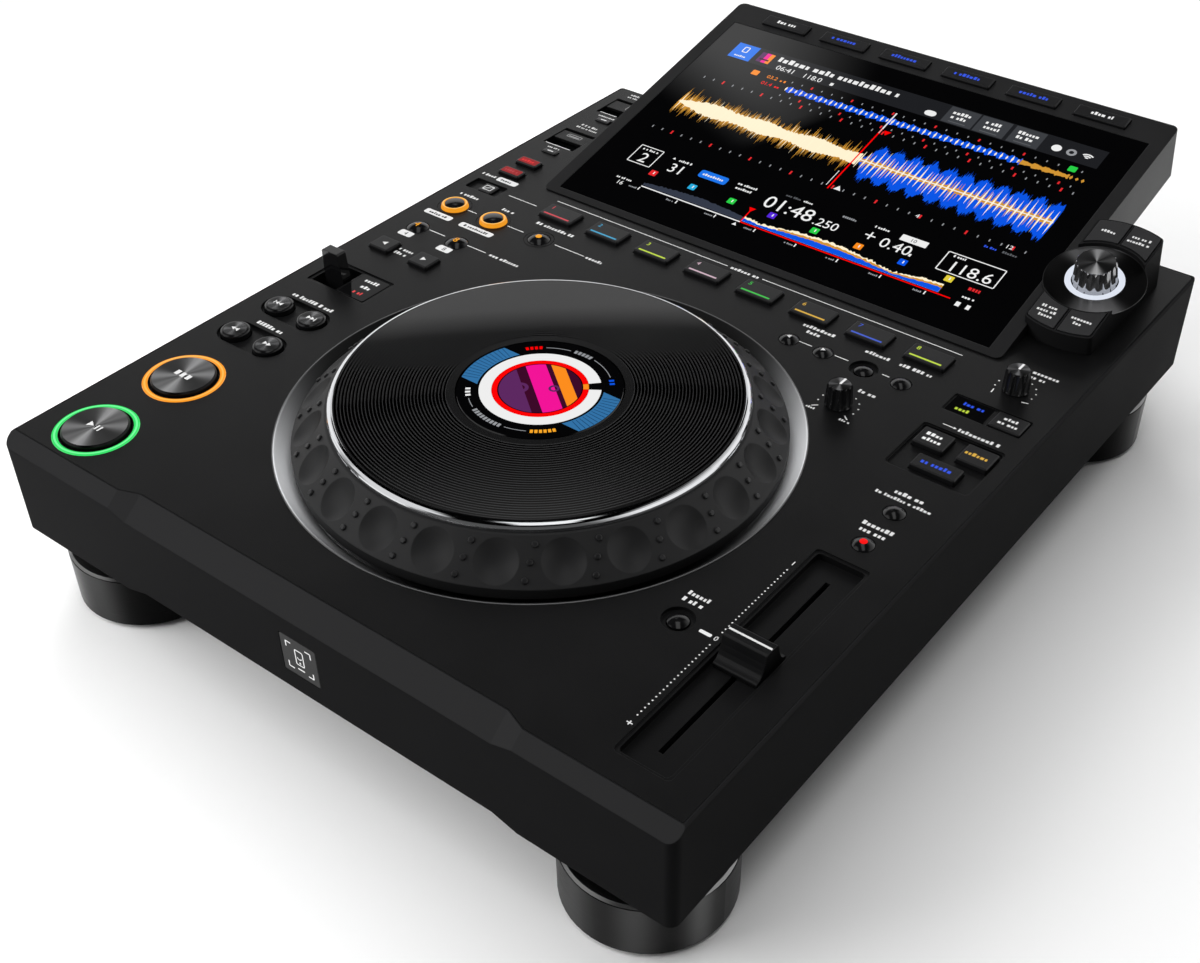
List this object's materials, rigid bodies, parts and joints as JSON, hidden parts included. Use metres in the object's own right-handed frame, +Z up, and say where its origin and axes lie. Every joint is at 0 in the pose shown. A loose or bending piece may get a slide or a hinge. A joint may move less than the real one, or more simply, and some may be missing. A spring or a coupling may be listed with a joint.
{
  "type": "tabletop dj player",
  "caption": "Club-style table-top music player with a turning jog wheel, sloping touch display, pitch slider, keys, knobs and round feet.",
  "frame": {"origin": "middle of the bounding box, on the surface that the feet stand on", "axes": "+X to the right as the user faces it, +Y away from the user towards the sockets, +Z up"},
  "size_m": [0.329, 0.4602, 0.1195],
  "materials": {
    "case_black": "smooth matte black moulding",
    "deck_black": "fine-grained matte black",
    "pan_black": "matte black painted sheet",
    "foot_metal": "dark brushed metal with a bright edge, over a rubber pad",
    "display_glass": "black glass over a lit panel",
    "bright_metal": "bright turned aluminium",
    "ring_rubber": "matte black rubber",
    "plate_black": "black turned plate with a chrome trim",
    "key_grey": "satin dark grey",
    "key_black": "semi-gloss black",
    "button_metal": "spun metal",
    "knob_gloss": "glossy black",
    "light_guide": "clear and coloured light guides",
    "socket_metal": "plated shells in black frames",
    "board": "circuit board with a steel fader unit"
  },
  "bodies": {
    "root": {"outer_case": "case_black", "deck_panel": "deck_black", "base_pan": "pan_black", "feet": "foot_metal", "display_housing": "case_black", "touch_display": "display_glass", "browse_pod": "case_black", "jog_well": "bright_metal", "centre_display": "display_glass", "light_guides": "light_guide", "sockets": "socket_metal", "main_board": "board"},
    "jog_wheel": {"jog_ring": "ring_rubber", "jog_plate": "plate_black"},
    "hot_cue_key_1": {"hot_cue_key_1": "key_grey"},
    "hot_cue_key_2": {"hot_cue_key_2": "key_grey"},
    "hot_cue_key_3": {"hot_cue_key_3": "key_grey"},
    "hot_cue_key_4": {"hot_cue_key_4": "key_grey"},
    "hot_cue_key_5": {"hot_cue_key_5": "key_grey"},
    "hot_cue_key_6": {"hot_cue_key_6": "key_grey"},
    "hot_cue_key_7": {"hot_cue_key_7": "key_grey"},
    "hot_cue_key_8": {"hot_cue_key_8": "key_grey"},
    "play_button": {"play_button": "button_metal"},
    "cue_button": {"cue_button": "button_metal"},
    "search_back_button": {"search_back_button": "key_black"},
    "search_forward_button": {"search_forward_button": "key_black"},
    "track_back_button": {"track_back_button": "key_black"},
    "track_forward_button": {"track_forward_button": "key_black"},
    "beat_jump_back_key": {"beat_jump_back_key": "key_grey"},
    "beat_jump_forward_key": {"beat_jump_forward_key": "key_grey"},
    "beat_loop_4_button": {"beat_loop_4_button": "key_black"},
    "beat_loop_8_button": {"beat_loop_8_button": "key_black"},
    "loop_in_button": {"loop_in_button": "key_black"},
    "loop_out_button": {"loop_out_button": "key_black"},
    "loop_exit_button": {"loop_exit_button": "key_black"},
    "call_key": {"call_key": "key_black"},
    "slip_key": {"slip_key": "key_black"},
    "quantize_key": {"quantize_key": "key_black"},
    "stop_keys": {"stop_keys": "key_black"},
    "cue_call_back_button": {"cue_call_back_button": "key_black"},
    "cue_call_forward_button": {"cue_call_forward_button": "key_black"},
    "delete_button": {"delete_button": "key_black"},
    "memory_button": {"memory_button": "key_black"},
    "jog_mode_key": {"jog_mode_key": "key_grey"},
    "beat_sync_key": {"beat_sync_key": "key_grey"},
    "master_key": {"master_key": "key_grey"},
    "key_sync_key": {"key_sync_key": "key_grey"},
    "tempo_range_button": {"tempo_range_button": "key_black"},
    "master_tempo_button": {"master_tempo_button": "key_black"},
    "tempo_reset_button": {"tempo_reset_button": "key_black"},
    "menu_keys": {"menu_keys": "key_grey"},
    "pod_keys": {"pod_keys": "key_grey"},
    "direction_lever": {"direction_lever": "key_black"},
    "jog_feel_knob": {"jog_feel_knob": "key_black"},
    "jog_speed_knob": {"jog_speed_knob": "key_black"},
    "tempo_fader": {"tempo_fader": "key_grey"},
    "selector_knob": {"selector_knob": "knob_gloss"},
    "power_switch": {"power_switch": "knob_gloss"},
    "usb_lid": {"usb_lid": "deck_black"},
    "card_lid": {"card_lid": "deck_black"}
  },
  "joints": [
    {"name": "jog_turn", "type": "hinge", "parent": "root", "child": "jog_wheel", "pos_m": [0, -0.09512, 0.0795], "axis": [0, 0, 1], "continuous": true},
    {"name": "hot_cue_key_1_press", "type": "slide", "parent": "root", "child": "hot_cue_key_1", "axis": [0, 0, -1], "range_m": [0, 0.001], "stiffness_N_per_m": 300, "springref_m": -0.0005},
    {"name": "hot_cue_key_2_press", "type": "slide", "parent": "root", "child": "hot_cue_key_2", "axis": [0, 0, -1], "range_m": [0, 0.001], "stiffness_N_per_m": 300, "springref_m": -0.0005},
    {"name": "hot_cue_key_3_press", "type": "slide", "parent": "root", "child": "hot_cue_key_3", "axis": [0, 0, -1], "range_m": [0, 0.001], "stiffness_N_per_m": 300, "springref_m": -0.0005},
    {"name": "hot_cue_key_4_press", "type": "slide", "parent": "root", "child": "hot_cue_key_4", "axis": [0, 0, -1], "range_m": [0, 0.001], "stiffness_N_per_m": 300, "springref_m": -0.0005},
    {"name": "hot_cue_key_5_press", "type": "slide", "parent": "root", "child": "hot_cue_key_5", "axis": [0, 0, -1], "range_m": [0, 0.001], "stiffness_N_per_m": 300, "springref_m": -0.0005},
    {"name": "hot_cue_key_6_press", "type": "slide", "parent": "root", "child": "hot_cue_key_6", "axis": [0, 0, -1], "range_m": [0, 0.001], "stiffness_N_per_m": 300, "springref_m": -0.0005},
    {"name": "hot_cue_key_7_press", "type": "slide", "parent": "root", "child": "hot_cue_key_7", "axis": [0, 0, -1], "range_m": [0, 0.001], "stiffness_N_per_m": 300, "springref_m": -0.0005},
    {"name": "hot_cue_key_8_press", "type": "slide", "parent": "root", "child": "hot_cue_key_8", "axis": [0, 0, -1], "range_m": [0, 0.001], "stiffness_N_per_m": 300, "springref_m": -0.0005},
    {"name": "play_button_press", "type": "slide", "parent": "root", "child": "play_button", "axis": [0, 0, -1], "range_m": [0, 0.001], "stiffness_N_per_m": 300, "springref_m": -0.0005},
    {"name": "cue_button_press", "type": "slide", "parent": "root", "child": "cue_button", "axis": [0, 0, -1], "range_m": [0, 0.001], "stiffness_N_per_m": 300, "springref_m": -0.0005},
    {"name": "search_back_button_press", "type": "slide", "parent": "root", "child": "search_back_button", "axis": [0, 0, -1], "range_m": [0, 0.001], "stiffness_N_per_m": 300, "springref_m": -0.0005},
    {"name": "search_forward_button_press", "type": "slide", "parent": "root", "child": "search_forward_button", "axis": [0, 0, -1], "range_m": [0, 0.001], "stiffness_N_per_m": 300, "springref_m": -0.0005},
    {"name": "track_back_button_press", "type": "slide", "parent": "root", "child": "track_back_button", "axis": [0, 0, -1], "range_m": [0, 0.001], "stiffness_N_per_m": 300, "springref_m": -0.0005},
    {"name": "track_forward_button_press", "type": "slide", "parent": "root", "child": "track_forward_button", "axis": [0, 0, -1], "range_m": [0, 0.001], "stiffness_N_per_m": 300, "springref_m": -0.0005},
    {"name": "beat_jump_back_key_press", "type": "slide", "parent": "root", "child": "beat_jump_back_key", "axis": [0, 0, -1], "range_m": [0, 0.001], "stiffness_N_per_m": 300, "springref_m": -0.0005},
    {"name": "beat_jump_forward_key_press", "type": "slide", "parent": "root", "child": "beat_jump_forward_key", "axis": [0, 0, -1], "range_m": [0, 0.001], "stiffness_N_per_m": 300, "springref_m": -0.0005},
    {"name": "beat_loop_4_button_press", "type": "slide", "parent": "root", "child": "beat_loop_4_button", "axis": [0, 0, -1], "range_m": [0, 0.001], "stiffness_N_per_m": 300, "springref_m": -0.0005},
    {"name": "beat_loop_8_button_press", "type": "slide", "parent": "root", "child": "beat_loop_8_button", "axis": [0, 0, -1], "range_m": [0, 0.001], "stiffness_N_per_m": 300, "springref_m": -0.0005},
    {"name": "loop_in_button_press", "type": "slide", "parent": "root", "child": "loop_in_button", "axis": [0, 0, -1], "range_m": [0, 0.001], "stiffness_N_per_m": 300, "springref_m": -0.0005},
    {"name": "loop_out_button_press", "type": "slide", "parent": "root", "child": "loop_out_button", "axis": [0, 0, -1], "range_m": [0, 0.001], "stiffness_N_per_m": 300, "springref_m": -0.0005},
    {"name": "loop_exit_button_press", "type": "slide", "parent": "root", "child": "loop_exit_button", "axis": [0, 0, -1], "range_m": [0, 0.001], "stiffness_N_per_m": 300, "springref_m": -0.0005},
    {"name": "call_key_press", "type": "slide", "parent": "root", "child": "call_key", "axis": [0, 0, -1], "range_m": [0, 0.001], "stiffness_N_per_m": 300, "springref_m": -0.0005},
    {"name": "slip_key_press", "type": "slide", "parent": "root", "child": "slip_key", "axis": [0, 0, -1], "range_m": [0, 0.001], "stiffness_N_per_m": 300, "springref_m": -0.0005},
    {"name": "quantize_key_press", "type": "slide", "parent": "root", "child": "quantize_key", "axis": [0, 0, -1], "range_m": [0, 0.001], "stiffness_N_per_m": 300, "springref_m": -0.0005},
    {"name": "stop_keys_press", "type": "slide", "parent": "root", "child": "stop_keys", "axis": [0, 0, -1], "range_m": [0, 0.001], "stiffness_N_per_m": 300, "springref_m": -0.0005},
    {"name": "cue_call_back_button_press", "type": "slide", "parent": "root", "child": "cue_call_back_button", "axis": [0, 0, -1], "range_m": [0, 0.001], "stiffness_N_per_m": 300, "springref_m": -0.0005},
    {"name": "cue_call_forward_button_press", "type": "slide", "parent": "root", "child": "cue_call_forward_button", "axis": [0, 0, -1], "range_m": [0, 0.001], "stiffness_N_per_m": 300, "springref_m": -0.0005},
    {"name": "delete_button_press", "type": "slide", "parent": "root", "child": "delete_button", "axis": [0, 0, -1], "range_m": [0, 0.001], "stiffness_N_per_m": 300, "springref_m": -0.0005},
    {"name": "memory_button_press", "type": "slide", "parent": "root", "child": "memory_button", "axis": [0, 0, -1], "range_m": [0, 0.001], "stiffness_N_per_m": 300, "springref_m": -0.0005},
    {"name": "jog_mode_key_press", "type": "slide", "parent": "root", "child": "jog_mode_key", "axis": [0, 0, -1], "range_m": [0, 0.001], "stiffness_N_per_m": 300, "springref_m": -0.0005},
    {"name": "beat_sync_key_press", "type": "slide", "parent": "root", "child": "beat_sync_key", "axis": [0, 0, -1], "range_m": [0, 0.001], "stiffness_N_per_m": 300, "springref_m": -0.0005},
    {"name": "master_key_press", "type": "slide", "parent": "root", "child": "master_key", "axis": [0, 0, -1], "range_m": [0, 0.001], "stiffness_N_per_m": 300, "springref_m": -0.0005},
    {"name": "key_sync_key_press", "type": "slide", "parent": "root", "child": "key_sync_key", "axis": [0, 0, -1], "range_m": [0, 0.001], "stiffness_N_per_m": 300, "springref_m": -0.0005},
    {"name": "tempo_range_button_press", "type": "slide", "parent": "root", "child": "tempo_range_button", "axis": [0, 0, -1], "range_m": [0, 0.001], "stiffness_N_per_m": 300, "springref_m": -0.0005},
    {"name": "master_tempo_button_press", "type": "slide", "parent": "root", "child": "master_tempo_button", "axis": [0, 0, -1], "range_m": [0, 0.001], "stiffness_N_per_m": 300, "springref_m": -0.0005},
    {"name": "tempo_reset_button_press", "type": "slide", "parent": "root", "child": "tempo_reset_button", "axis": [0, 0, -1], "range_m": [0, 0.001], "stiffness_N_per_m": 300, "springref_m": -0.0005},
    {"name": "menu_keys_press", "type": "slide", "parent": "root", "child": "menu_keys", "axis": [0, 0.225, -0.9744], "range_m": [0, 0.001], "stiffness_N_per_m": 300, "springref_m": -0.0005},
    {"name": "pod_keys_press", "type": "slide", "parent": "root", "child": "pod_keys", "axis": [0, 0.225, -0.9744], "range_m": [0, 0.001], "stiffness_N_per_m": 300, "springref_m": -0.0005},
    {"name": "direction_tilt", "type": "hinge", "parent": "root", "child": "direction_lever", "pos_m": [-0.1455, -0.06482, 0.0715], "axis": [1, 0, 0], "range_deg": [-18, 18]},
    {"name": "jog_feel_knob_turn", "type": "hinge", "parent": "root", "child": "jog_feel_knob", "pos_m": [0.087, -0.01312, 0.0795], "axis": [0, 0, 1], "range_deg": [-140, 140]},
    {"name": "jog_speed_knob_turn", "type": "hinge", "parent": "root", "child": "jog_speed_knob", "pos_m": [0.1393, 0.03938, 0.0795], "axis": [0, 0, 1], "range_deg": [-140, 140]},
    {"name": "tempo_slide", "type": "slide", "parent": "root", "child": "tempo_fader", "axis": [0, 1, 0], "range_m": [-0.045, 0.045]},
    {"name": "selector_turn", "type": "hinge", "parent": "root", "child": "selector_knob", "pos_m": [0.1374, 0.11212, 0.09706], "axis": [0, -0.225, 0.9744], "continuous": true},
    {"name": "power_rock", "type": "hinge", "parent": "root", "child": "power_switch", "pos_m": [-0.078, 0.16588, 0.0538], "axis": [1, 0, 0], "range_deg": [-20, 0]},
    {"name": "usb_lid_open", "type": "hinge", "parent": "root", "child": "usb_lid", "pos_m": [-0.14735, 0.10978, 0.0779], "axis": [-1, 0, 0], "range_deg": [0, 95]},
    {"name": "card_lid_open", "type": "hinge", "parent": "root", "child": "card_lid", "pos_m": [-0.1425, 0.15378, 0.0779], "axis": [-1, 0, 0], "range_deg": [0, 95]}
  ]
}
